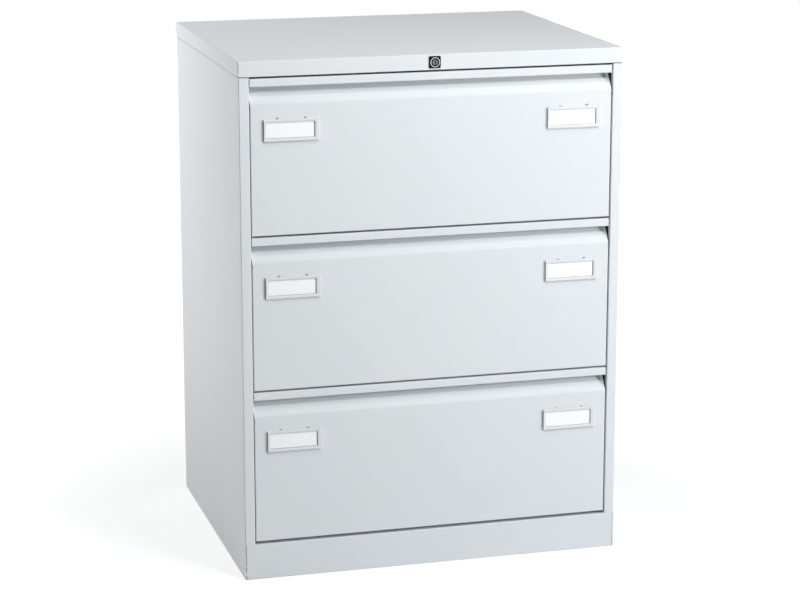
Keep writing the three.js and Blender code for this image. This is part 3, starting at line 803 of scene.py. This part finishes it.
@dataclass
class DrawerFront:
    """Drawer front: flat below, sloping back above, and hooked forward at the top into a pull."""

    level: Level
    edge_radius: float = 2.0  # of the folded side edges
    strip: float = 16.0  # height of the pull's face
    opening: float = 32.0  # from there down to the slope's foot
    pull_depth: float = 26.0  # how far back the slope goes
    pull_back: float = 12.0  # from the top down to the slope's end
    foot_radius: float = 5.0  # where the slope starts
    back_radius: float = 3.0  # where it ends
    upturn: float = 16.0  # height of the lower fold's rear
    flange: float = 14.0  # depth of the folded sides
    flange_start: float = 4.0  # above the lower edge
    flange_stop: float = 9.0  # below the slope
    corner_relief: float = 1.5  # cut above a folded side
    hem: float = 7.0  # turned up behind the pull's face
    hem_gap: float = 0.6
    clip_slot: tuple[float, float] = (4.0, 2.5)  # punched above a label holder for each of its clips
    clip_height: float = 1.2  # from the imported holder's top down to a slot's foot
    top_gap: float = 0.6  # more above, so that the joint shows as the line it is
    hang: float = 0.7  # left of the opening's middle, which makes the joint on the right the wider one

    def build(self) -> None:
        """Makes the front, folds its sides back and punches it for the label holders."""
        node = f"{self.level}_drawer_front"
        low, high = box_mm(node)
        height = high.z - low.z
        crown = height - self.top_gap - SHEET
        rear = high.y - low.y
        foot = height - self.strip - self.opening
        flange_top = foot - self.flange_stop
        strip_foot = height - self.strip + SHEET
        hem_line = SHEET + self.hem_gap
        line = folded([
            (rear, self.upturn),
            (rear, 0),
            (0, 0),
            (0, self.flange_start),
            (0, flange_top),
            (0, flange_top + self.corner_relief),
            (0, foot, self.foot_radius),
            (self.pull_depth, height - self.pull_back, self.back_radius),
            (self.pull_depth, crown),
            (SHEET, crown),
            (SHEET, strip_foot, self.hem_gap / 2),
            (hem_line, strip_foot, self.hem_gap / 2),
            (hem_line, strip_foot + self.hem),
        ])

        def place(back: float, up: float, x: float) -> Vector:
            """Returns a point of the front's section at a place across it."""
            return Vector((x, FRONT + back, low.z + up))

        def square_end(spot: Vector, _: float) -> bool:
            """Returns whether the sheet's end is cut square there, not folded back."""
            return spot.x > SHEET / 2 or not self.flange_start < spot.y < flange_top + self.corner_relief

        panel = SlabMesh()
        edges = {side: high.x - side.sign * self.hang for side in Side}
        ends = [side.sign * (edge - self.edge_radius) for side, edge in edges.items()]
        panel.sheet(line, ends, place)
        for side, edge in edges.items():
            inner = edge - self.edge_radius
            panel.sheet(line, [side.sign * inner, side.sign * edge], place, square_end)
            plan = [
                tuple(
                    Vector((inner + reach * math.sin(angle), self.edge_radius - reach * math.cos(angle)))
                    for reach in (self.edge_radius, self.edge_radius - SHEET)
                )
                for angle in quarter_turn()
            ]
            plan.append((Vector((edge, self.flange)), Vector((edge - SHEET, self.flange))))
            panel.sheet(
                plan,
                [self.flange_start, flange_top],
                lambda x, back, up, sign=side.sign: place(back, up, sign * x),
            )
        punched = carved(panel.mesh(), self._clip_slots())
        make_piece(f"{self.level}_front_sheet", f"{self.level}_drawer", POWDER_COAT, punched, [node])

    def _clip_slots(self) -> Mesh:
        """Returns the punches for the label holders' clips."""
        punches = SlabMesh()
        width, height = self.clip_slot
        for side in Side:
            low, high = box_mm(f"{self.level}_{side}_label_holder")
            foot = high.z - self.clip_height
            for way in (-1, 1):
                start = (low.x + high.x + way * LabelHolder.clip_spacing) / 2 - width / 2
                punches.block(
                    (start, FRONT - SHEET, foot), (start + width, FRONT + 2 * SHEET, foot + height)
                )
        return punches.mesh()


@dataclass
class DrawerTray:
    """Tray of a drawer: a folded trough with hemmed walls, and two end walls welded in."""

    level: Level
    wall_height: float = 244.0
    hem: float = 9.0  # turned down inside the walls
    hem_gap: float = 0.4
    end_flange: float = 12.0  # of the end walls, along the sides
    weld_gap: float = 0.05
    rail_notch: float = 5.0  # cut from the hem for each hanging rail
    lug_low: tuple[float, float] = (28.8, 192.0)  # depth, and height above the tray
    lug_size: tuple[float, float, float] = (10.0, 4.0, 12.0)  # width, depth, height

    def build(self) -> None:
        """Makes the trough, the end walls and the lug that the lock holds."""
        node = f"{self.level}_drawer_tray"
        low, high = box_mm(node)
        half = -low.x
        inside = half - SHEET
        wall_top = self.wall_height - SHEET
        hem_line = inside - self.hem_gap
        rails = [box_mm(f"{self.level}_{end}_hanging_rail").middle.y for end in End]
        wall = [
            (inside, SHEET),
            (inside, wall_top, self.hem_gap / 2),
            (hem_line, wall_top, self.hem_gap / 2),
            (hem_line, wall_top - self.hem),
        ]
        trough = folded([(-x, *rest) for x, *rest in reversed(wall)] + wall)

        def lengthwise(x: float, up: float, y: float) -> Vector:
            """Returns a point of the trough's section at a place along it."""
            return Vector((x, y, low.z + up))

        def clear_of_rails(spot: Vector, y: float) -> bool:
            """Returns whether a slab of the trough is not where a rail drops in."""
            in_hem = abs(spot.x) < inside and spot.y > wall_top - self.hem
            return not in_hem or min(abs(y - rail) for rail in rails) > self.rail_notch / 2

        tray = SlabMesh()
        cuts = sorted(rail + end * self.rail_notch / 2 for rail in rails for end in (-1, 1))
        tray.sheet(trough, [low.y, *cuts, high.y], lengthwise, clear_of_rails)
        self._end_walls(tray, low, high)
        lug = (half, FRONT + self.lug_low[0], low.z + self.lug_low[1])
        tray.block(lug, [start + size for start, size in zip(lug, self.lug_size)])
        # the inner coat's colour is a shade darker: painted shade inside the tray
        make_piece(f"{self.level}_tray_sheet", f"{self.level}_drawer", INNER_COAT_PAINTED_SHADE, tray.mesh(), [node])

    def _end_walls(self, tray: SlabMesh, low: Vector, high: Vector) -> None:
        """Adds the front apron and the rear wall, each with flanges along the side walls.

        Args:
            tray: the tray so far.
            low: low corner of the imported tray.
            high: its high corner.
        """
        snug = -low.x - SHEET - self.weld_gap
        floor = low.z + SHEET + self.weld_gap
        wall_top = low.z + self.wall_height
        flange_top = wall_top - self.hem - 2 * SHEET
        apron = (snug - SHEET, low.y + SHEET, self.end_flange, high.z)
        rear = (snug, high.y, -self.end_flange, wall_top)
        for half, wall, flange, top in (apron, rear):
            tray.sheet(
                folded([(-half, wall + flange), (-half, wall), (half, wall), (half, wall + flange)]),
                [floor, flange_top, top],
                lambda x, y, z: Vector((x, y, z)),
                lambda spot, z: z < flange_top or abs(spot.x) < snug - 2 * SHEET,
            )


@dataclass
class Runner:
    """Telescopic runner: a fixed channel, a ball-race channel that floats and one on the tray."""

    level: Level
    side: Side
    gauge: float = 1.2
    race: float = 3.0  # thickness of the floating member's flanges
    play: float = 0.3  # between members
    roll: float = 1.0  # inside radius of the rolled corners
    slot_length: float = 34.0
    slot_radius: float = 4.0
    slot_count: int = 6
    screw_count: int = 4
    screw_inset: float = 50.0
    screw_radius: float = 4.2
    screw_head: float = 2.2
    recess: float = 1.2  # width of a cross recess
    recess_arm: float = 2.52  # from its middle to the end of an arm
    bracket_inset: float = 20.0  # from the runner's ends
    bracket_foot: float = 16.0
    bracket_height: float = 40.0

    def __post_init__(self) -> None:
        """Works out the places that the three members share."""
        self.key = f"{self.level}_{self.side}"
        self.drawer = f"{self.level}_drawer"
        low, high = box_mm(f"{self.key}_runner_middle")
        self.ends = (low.y, high.y)
        self.axis = (low.z + high.z) / 2
        self.half = (high.z - low.z) / 2 + self.gauge + self.play
        self.lip, back = self._sides("middle")
        self.web = back + self.gauge + self.play  # outer member's back
        self.tray_web, self.tray_lip = self._sides("inner")
        self.seat = self._sides("outer")[1]

    def build(self) -> None:
        """Makes the three members and the screws that hold one to the tray."""
        self._outer()
        self._middle()
        self._inner()
        self._screws()

    def _sides(self, member: str) -> list[float]:
        """Returns how far a packed member's sides are from the cabinet's middle, the nearer first."""
        return sorted(abs(corner.x) for corner in box_mm(f"{self.key}_runner_{member}"))

    def _place(self, x: float, up: float, y: float) -> Vector:
        """Returns a point of a member's section at a place along it."""
        return Vector((self.side.sign * x, y, self.axis + up))

    def _channel(self, web: float, lip: float, half: float) -> SlabMesh:
        """Makes a rolled channel as long as the runner.

        Args:
            web: back of the channel.
            lip: edge of its flanges.
            half: half its height.

        Returns:
            The channel.
        """
        up = half if lip < web else -half
        corners = [(lip, up), (web, up, self.roll), (web, -up, self.roll), (lip, -up)]
        made = SlabMesh()
        made.sheet(folded(corners, self.gauge), self.ends, self._place)
        return made

    def _finish(self, name: str, body: str, mesh: Mesh, member: str) -> None:
        """Makes a mesh the piece that stands for one packed member."""
        stands_for = [f"{self.key}_runner_{member}"]
        make_piece(f"{self.key}_{name}", body, ZINC_DEPTHWISE, mesh, stands_for)

    def _outer(self) -> None:
        """Makes the fixed member with its two brackets."""
        member = self._channel(self.web, self.lip, self.half)
        tall = self.bracket_height / 2
        starts = (self.ends[0] + self.bracket_inset, self.ends[1] - self.bracket_inset - self.bracket_foot)
        for start in starts:
            corners = [
                (self.web, start),
                (self.seat, start, self.gauge / 2),
                (self.seat, start + self.bracket_foot),
            ]
            arm = folded(corners, -self.gauge)
            member.sheet(arm, [-tall, tall], lambda x, y, up: self._place(x, up, y))
        self._finish("fixed_channel", "cabinet", member.mesh(), "outer")

    def _middle(self) -> None:
        """Makes the floating member, a slotted web between two thick races."""
        web = self.web - self.gauge - self.play
        half = self.half - self.gauge - self.play
        member = self._channel(web, self.lip, half)
        for way in (-1, 1):
            up = way * (half - self.race)
            ends = [(self.lip, up), (web - self.gauge - self.roll, up)]
            member.sheet(folded(ends, way * (self.gauge - self.race)), self.ends, self._place)
        slots = bmesh.new()
        pitch = (self.ends[1] - self.ends[0]) / self.slot_count
        reach = self.slot_length / 2
        for k in range(self.slot_count):
            middle = self.ends[0] + pitch * (k + 0.5)
            outline = rounded_outline(
                (middle - reach, -self.slot_radius),
                (middle + reach, self.slot_radius),
                [self.slot_radius] * 4,
            )
            sides = (web - 2 * self.gauge, web + self.gauge)
            loft([[self._place(x, spot.y, spot.x) for spot in outline] for x in sides], made=slots)
        self._finish("race_channel", f"{self.key}_slide", carved(member.mesh(), slots), "middle")

    def _inner(self) -> None:
        """Makes the member that is screwed to the tray."""
        half = self.half - self.gauge - self.race - 2 * self.play
        member = self._channel(self.tray_web, self.tray_lip, half)
        self._finish("tray_channel", self.drawer, member.mesh(), "inner")

    def _screws(self) -> None:
        """Makes the cross-head screws along the tray's member."""
        face = self.tray_web + self.gauge
        dome = quarter_turn()[:-1]
        profile = [(self.screw_radius * math.cos(a), self.screw_head * math.sin(a)) for a in dome]
        half = self.recess / 2
        arm = [(self.recess_arm, -half), (self.recess_arm, half), (half, half)]
        cross = []
        for _ in range(4):
            cross += arm
            arm = [(-b, a) for a, b in arm]
        heads = bmesh.new()
        crosses = bmesh.new()
        span = self.ends[1] - self.ends[0] - 2 * self.screw_inset
        for k in range(self.screw_count):
            middle = self.ends[0] + self.screw_inset + span * k / (self.screw_count - 1)

            def place(a: float, b: float, out: float, middle: float = middle) -> Vector:
                """Returns a point of a screw's head in the cabinet."""
                return self._place(face + out, b, middle + a)

            turned(profile, place, made=heads)
            depths = (self.screw_head / 2, 2 * self.screw_head)
            loft([[place(*spot, out) for spot in cross] for out in depths], made=crosses)
        make_piece(f"{self.key}_runner_screws", self.drawer, ZINC_UPRIGHT, carved(heads, crosses))


@dataclass
class LabelHolder:
    """Moulded frame clipped to a drawer front, open at its left end for the card."""

    level: Level
    side: Side
    height: float = 41.5
    margins: tuple[float, float, float, float] = (5.0, 8.5, 6.5, 6.0)  # left, right, below, above
    slopes: tuple[float, float, float, float] = (1.0, 0.4, 1.3, 0.8)  # of the window's walls, likewise
    corner: float = 1.5  # radius
    least_corner: float = 0.3  # where the outline is drawn in
    window_corners: tuple[float, float, float, float] = (0.8, 3.0, 3.0, 0.8)
    soft: float = 0.9
    soft_facets: int = 4
    pocket: float = 2.4  # depth behind the frame
    card: float = 0.3  # thickness
    card_play: float = 0.1
    card_lap: float = 2.8  # of the card behind the frame
    card_short: float = 1.2  # from the card's end to the window's right side
    clip_size: tuple[float, float] = (2.4, 0.8)  # width and thickness
    clip_spacing: float = 54.0

    def __post_init__(self) -> None:
        """Works out the places that its pieces share."""
        self.key = f"{self.level}_{self.side}"
        self.drawer = f"{self.level}_drawer"
        self.node = f"{self.key}_label_holder"
        self.low, self.high = box_mm(self.node)
        self.top = self.low.z + self.height
        self.seat = self.high.y - self.pocket
        left, right, below, above = self.margins
        self.window_low = Vector((self.low.x + left, self.low.z + below))
        self.window_high = Vector((self.high.x - right, self.top - above))

    def build(self) -> None:
        """Makes the frame, the rails and clips behind it, and the card in its pocket."""
        self._frame()
        self._backing()
        self._card()

    def _outside(self, inset: float, y: float) -> list[Vector]:
        """Returns the frame's outline at a depth, drawn in by a measure."""
        corners = ((self.low.x + inset, self.low.z + inset), (self.high.x - inset, self.top - inset))
        return upright(rounded_outline(*corners, [max(self.corner - inset, self.least_corner)] * 4), y)

    def _window(self, share: float, y: float) -> list[Vector]:
        """Draws the window's outline.

        Args:
            share: how much of its walls' slopes it is drawn out by.
            y: its depth.

        Returns:
            The outline's points.
        """
        left, right, below, above = (share * slope for slope in self.slopes)
        low = self.window_low - Vector((left, below))
        high = self.window_high + Vector((right, above))
        return upright(rounded_outline(low, high, self.window_corners), y)

    def _frame(self) -> None:
        """Makes the frame with its soft outer edge and sloping window."""
        rings = [self._outside(0, self.seat)]
        for angle in quarter_turn(self.soft_facets):
            inset = self.soft * (1 - math.cos(angle))
            rings.append(self._outside(inset, self.low.y + self.soft * (1 - math.sin(angle))))
        rings += [self._window(1, self.low.y), self._window(0, self.seat)]
        shape = loft(rings, wrap=True)
        make_piece(f"{self.key}_holder_frame", self.drawer, HOLDER_PLASTIC, shape, [self.node], 0)

    def _backing(self) -> None:
        """Makes the three rails that the frame stands on and its two clips."""
        low, high, lap, shoulder = self.low, self.high, self.card_lap, self.corner
        bars = (
            (low.x, high.x - shoulder, low.z, self.window_low.y - lap),
            (low.x, high.x - shoulder, self.window_high.y + lap, self.top),
            (self.window_high.x + lap, high.x, low.z + shoulder, self.top - shoulder),
        )
        backing = SlabMesh()
        for x0, x1, z0, z1 in bars:
            backing.block((x0, self.seat - SlabMesh.GRID, z0), (x1, high.y, z1))
        width, thick = self.clip_size
        for way in (-1, 1):
            start = (low.x + high.x) / 2 + (way * self.clip_spacing - width) / 2
            backing.block(
                (start, high.y - thick, self.top), (start + width, FRONT + 2 * SHEET, self.top + thick)
            )
        make_piece(f"{self.key}_holder_backing", self.drawer, HOLDER_PLASTIC, backing.mesh())

    def _card(self) -> None:
        """Makes the card."""
        node = f"{self.key}_label_card"
        low, high = box_mm(node)
        front = self.seat + self.card_play
        stop = self.window_high.x - self.card_short
        card = SlabMesh()
        card.block((low.x, front, low.z), (stop, front + self.card, high.z))
        make_piece(f"{self.key}_card", self.drawer, CARD, card.mesh(), [node], 0)


# Lock


@dataclass
class Lock:
    """Cam lock in the cap's lip: a square plate, a bright barrel and a plug with its keyway."""

    hole: float = 8.8  # radius through the plate and the lip
    plate_corner: float = 2.0
    soft: float = 0.5  # reach of a rounded edge
    soft_middle: float = 0.15  # from a face to the middle of its rounding
    rim: float = 1.5
    bead: float = 1.6  # width of the bright bead round the rim
    bead_soft: float = 0.3
    sink: float = 0.9  # from the bead down to the dark ring's seat
    ring: float = 0.5  # thickness of the dark ring
    barrel: float = 8.5  # radius behind the rim
    bore: float = 6.8  # radius
    eye: float = 5.6  # radius of the opening in the dark ring
    eye_play: float = 0.2
    keyway: tuple[float, float, float] = (1.8, 8.0, 10.0)  # width, height, depth
    ward: tuple[float, float] = (0.9, 2.2)  # step in the keyway's side
    shutter: float = 0.7  # from the plug's face to the shutter in its keyway
    shutter_play: float = 0.1

    def build(self) -> None:
        """Makes the plate, the barrel and the plug, and dresses what they work."""
        self._plate()
        self._barrel()
        self._plug()
        dress("lock_cam", BLACK_STEEL)
        dress("lock_link", ZINC_WIDTHWISE)
        dress("lock_bar", ZINC_UPRIGHT)
        dress("lock_link_guide", BLACK_PLASTIC)
        dress("lock_bar_guide", BLACK_PLASTIC)

    def _plate(self) -> None:
        """Makes the square plate round the barrel."""
        box = box_mm("lock_escutcheon")
        low, high = box
        middle = box.middle

        def outside(inset: float, y: float) -> list[Vector]:
            """Returns the plate's outline, drawn in by a measure."""
            corners = ((low.x + inset, low.z + inset), (high.x - inset, high.z - inset))
            return upright(rounded_outline(*corners, [self.plate_corner] * 4), y)

        def inside(y: float) -> list[Vector]:
            """Returns the hole's outline, point for point with the plate's."""
            rays = [(spot - middle) * Vector((1, 0, 1)) for spot in outside(0, y)]
            return [Vector((middle.x, y, middle.z)) + ray.normalized() * self.hole for ray in rays]

        rings = [
            outside(0, high.y),
            outside(0, low.y + self.soft),
            outside(self.soft_middle, low.y + self.soft_middle),
            outside(self.soft, low.y),
            inside(low.y),
            inside(high.y),
        ]
        shape = loft(rings, wrap=True)
        make_piece("lock_plate", "cabinet", BLACK_PLASTIC, shape, ["lock_escutcheon"], 0)

    def _barrel(self) -> None:
        """Makes the barrel with its rounded rim, and the dark ring in it."""
        box = box_mm("lock_barrel")
        low, high = box
        place = facing_front(box.middle)
        radius = (high.x - low.x) / 2
        bead = radius - self.bead
        seat = low.y + self.sink
        profile = [
            (self.bore, seat),
            (bead, seat),
            (bead, low.y + self.bead_soft),
            (bead + self.bead_soft, low.y),
            (radius - self.soft, low.y),
            (radius - self.soft_middle, low.y + self.soft_middle),
            (radius, low.y + self.soft),
            (radius, low.y + self.rim),
            (self.barrel, low.y + self.rim),
            (self.barrel, high.y),
            (self.bore, high.y),
        ]
        shape = turned(profile, place, wrap=True)
        make_piece("lock_barrel_casting", "cabinet", CHROME, shape, ["lock_barrel"], 0)
        face = seat - self.ring
        dark = turned([(self.eye, seat), (self.eye, face), (bead, face), (bead, seat)], place, wrap=True)
        make_piece("lock_dark_ring", "cabinet", BLACK_PLASTIC, dark)

    def _plug(self) -> None:
        """Makes the plug, cuts its stepped keyway and puts the shutter in it."""
        box = box_mm("lock_plug")
        low, high = box
        place = facing_front(box.middle)
        radius = (high.x - low.x) / 2
        disc = self.eye - self.eye_play
        shoulder = low.y + 2 * self.ring
        profile = [
            (disc - 2 * self.soft, low.y),
            (disc - self.soft, low.y),
            (disc, low.y + self.soft),
            (disc, shoulder),
            (radius, shoulder),
            (radius, high.y),
        ]
        width, height, depth = self.keyway
        step, drop = self.ward
        outline = (
            (-width / 2, -height / 2),
            (width / 2, -height / 2),
            (width / 2, -drop / 2),
            (width / 2 + step, -drop / 2),
            (width / 2 + step, drop / 2),
            (width / 2, drop / 2),
            (width / 2, height / 2),
            (-width / 2, height / 2),
        )

        def prism(shrink: float, start: float, stop: float) -> Mesh:
            """Returns the keyway's shape between two depths, with its sides drawn in by a measure."""
            section = [(x - math.copysign(shrink, x), z - math.copysign(shrink, z)) for x, z in outline]
            return loft([[place(*spot, y) for spot in section] for y in (start, stop)])

        cut = carved(turned(profile, place), prism(0, low.y - SHEET, low.y + depth))
        make_piece("lock_plug_casting", "lock_cylinder", NICKEL, cut, ["lock_plug"])
        shutter = prism(self.shutter_play, low.y + self.shutter, low.y + depth - self.shutter_play)
        make_piece("lock_keyway_shutter", "lock_cylinder", BLACK_PLASTIC, shutter, (), 0)


# Studio


@dataclass(frozen=True)
class Viewpoint:
    """Where the camera stands and how it looks, in metres and degrees."""

    place: tuple[float, float, float] = (-1.2997, -4.7067, 1.6415)
    heading: float = 15.641  # right of straight at the drawers
    dip: float = 13.537  # below level
    lens: float = 109.5  # mm, for a picture 36 mm wide

    def build(self) -> None:
        """Makes the camera."""
        data = bpy.data.cameras.new("studio_camera")
        data.lens = self.lens
        camera = put("studio_camera", data)
        camera.location = self.place
        tilt = math.radians(90 - self.dip)  # a camera with no tilt looks straight down
        camera.rotation_euler = (tilt, 0, math.radians(-self.heading))
        bpy.context.scene.camera = camera


@dataclass(frozen=True)
class SoftBox:
    """Area lamp, in metres and watts."""

    name: str
    place: tuple[float, float, float]
    aim: tuple[float, float, float]
    size: tuple[float, float]
    power: float
    mirrored: bool = False  # whether a glossy surface shows it; a small bright one would burn out

    def build(self) -> None:
        """Makes the lamp."""
        data = bpy.data.lights.new(self.name, "AREA")
        data.shape = "RECTANGLE"
        data.size, data.size_y = self.size
        data.energy = self.power
        lamp = put(self.name, data)
        lamp.location = self.place
        way = Vector(self.aim) - Vector(self.place)
        lamp.rotation_euler = way.to_track_quat("-Z", "Y").to_euler()
        lamp.visible_glossy = self.mirrored


@dataclass
class Studio:
    """White room: an even backdrop, a pale floor and soft lamps."""

    white: str = "#FFFFFF"
    ambient: str = "#F6F7F8"
    ambient_strength: float = 0.05
    floor: str = "#CDCFD1"
    floor_roughness: float = 0.9
    floor_half: float = 8.0  # metres
    floor_glow: float = 1.3  # strength of the white that the floor shows the eye
    glow_share: tuple[float, float] = (0.6, 1.0)  # of that white, close by and far off
    glow_reach: tuple[float, float] = (0.6, 1.8)  # metres from the cabinet's middle
    lamps: tuple[SoftBox, ...] = (
        SoftBox("right_softbox", (2.6, -2.4, 1.2), (0.0, -0.3, 0.6), (0.7, 0.7), 72.0),
        SoftBox("high_front_softbox", (0.9, -2.2, 2.6), (0.0, -0.3, 0.8), (0.6, 0.6), 41.5),
        SoftBox("overhead_softbox", (0.1, -1.1, 2.6), (0.0, -0.3, 0.8), (0.35, 0.35), 11.0),
        SoftBox("left_softbox", (-2.6, -0.3, 0.9), (-0.38, 0.0, 0.5), (1.2, 1.6), 7.6, True),
        SoftBox("left_rear_softbox", (-1.4, 1.1, 1.4), (-0.38, 0.2, 0.8), (0.7, 0.7), 19.4),
        SoftBox("rear_softbox", (0.6, 3.0, 0.5), (0.1, 0.3, 0.5), (1.8, 0.8), 16.0),
    )

    def build(self) -> None:
        """Sets the view, the backdrop, the floor and the lamps."""
        bpy.context.scene.view_settings.view_transform = "Standard"
        Viewpoint().build()
        self._backdrop()
        self._floor()
        for lamp in self.lamps:
            lamp.build()

    def _seen(self, tree: Tree) -> bpy.types.NodeSocket:
        """Adds a switch that is 1 for what is looked at, mirrored or seen through.

        Args:
            tree: the tree that gets it.

        Returns:
            The switch's output.
        """
        path = add_node(tree, "ShaderNodeLightPath").outputs
        seen = path["Is Camera Ray"]
        for kind in ("Is Glossy Ray", "Is Transmission Ray"):
            either = add_node(tree, "ShaderNodeMath", None, {0: seen, 1: path[kind]}, operation="MAXIMUM")
            seen = either.outputs[0]
        return seen

    def _backdrop(self) -> None:
        """Makes a world that looks white and lights softly."""
        world = bpy.data.worlds.new("white_studio")
        bpy.context.scene.world = world
        world.use_nodes = True
        tree = world.node_tree
        light = tree.nodes["Background"]
        light.inputs["Color"].default_value = linear(self.ambient)
        light.inputs["Strength"].default_value = self.ambient_strength
        look = {"Color": linear(self.white), "Strength": 1.0}
        white = add_node(tree, "ShaderNodeBackground", look)
        shares = {0: self._seen(tree), 1: light.outputs[0], 2: white.outputs[0]}
        both = add_node(tree, "ShaderNodeMixShader", None, shares)
        tree.links.new(both.outputs[0], tree.nodes["World Output"].inputs["Surface"])

    def _floor(self) -> None:
        """Makes a pale floor that takes the cabinet's shadow and looks white beyond it."""
        paint = bpy.data.materials.new("studio_floor")
        paint.use_nodes = True
        tree = paint.node_tree
        base = tree.nodes["Principled BSDF"]
        base.inputs["Base Color"].default_value = linear(self.floor)
        base.inputs["Roughness"].default_value = self.floor_roughness
        look = {"Color": linear(self.white), "Strength": self.floor_glow}
        glow = add_node(tree, "ShaderNodeEmission", look)
        where = add_node(tree, "ShaderNodeTexCoord").outputs["Object"]
        away = add_node(tree, "ShaderNodeVectorMath", None, {0: where}, operation="LENGTH")
        limits = dict(enumerate((*self.glow_reach, *self.glow_share), 1))
        fade = add_node(tree, "ShaderNodeMapRange", limits, {0: away.outputs["Value"]})
        feeds = {0: self._seen(tree), 1: fade.outputs[0]}
        share = add_node(tree, "ShaderNodeMath", None, feeds, operation="MULTIPLY")
        shares = {0: share.outputs[0], 1: base.outputs[0], 2: glow.outputs[0]}
        both = add_node(tree, "ShaderNodeMixShader", None, shares)
        tree.links.new(both.outputs[0], tree.nodes["Material Output"].inputs["Surface"])
        half = self.floor_half
        corners = [(-half, -half, 0), (half, -half, 0), (half, half, 0), (-half, half, 0)]
        data = bpy.data.meshes.new("studio_floor")
        data.from_pydata(corners, [], [(0, 1, 2, 3)])
        data.materials.append(paint)
        plane = put("studio_floor", data)


def build_carcass() -> None:
    """Builds the cap, the sides, the plinth, the back, the base and the feet."""
    Cap().build()
    for side in Side:
        SidePanel(side).build()
    Plinth().build()
    dress("back_panel", POWDER_COAT)
    # the inner coat's colour is a shade darker: painted shade on the base
    dress("base_panel", INNER_COAT_PAINTED_SHADE)
    for end in End:
        for side in Side:
            LevellingFoot(end, side).build()


def build_drawers() -> None:
    """Builds the three drawers with their runners, rails and labels."""
    for level in Level:
        DrawerFront(level).build()
        DrawerTray(level).build()
        for end in End:
            dress(f"{level}_{end}_hanging_rail", ZINC_WIDTHWISE)
        for side in Side:
            Runner(level, side).build()
            LabelHolder(level, side).build()


def main() -> None:
    """Builds the studio and the cabinet, piece by piece."""
    logging.basicConfig(level=logging.INFO, format="%(message)s")
    Studio().build()
    build_carcass()
    build_drawers()
    Lock().build()


if __name__ == "__main__":
    main()
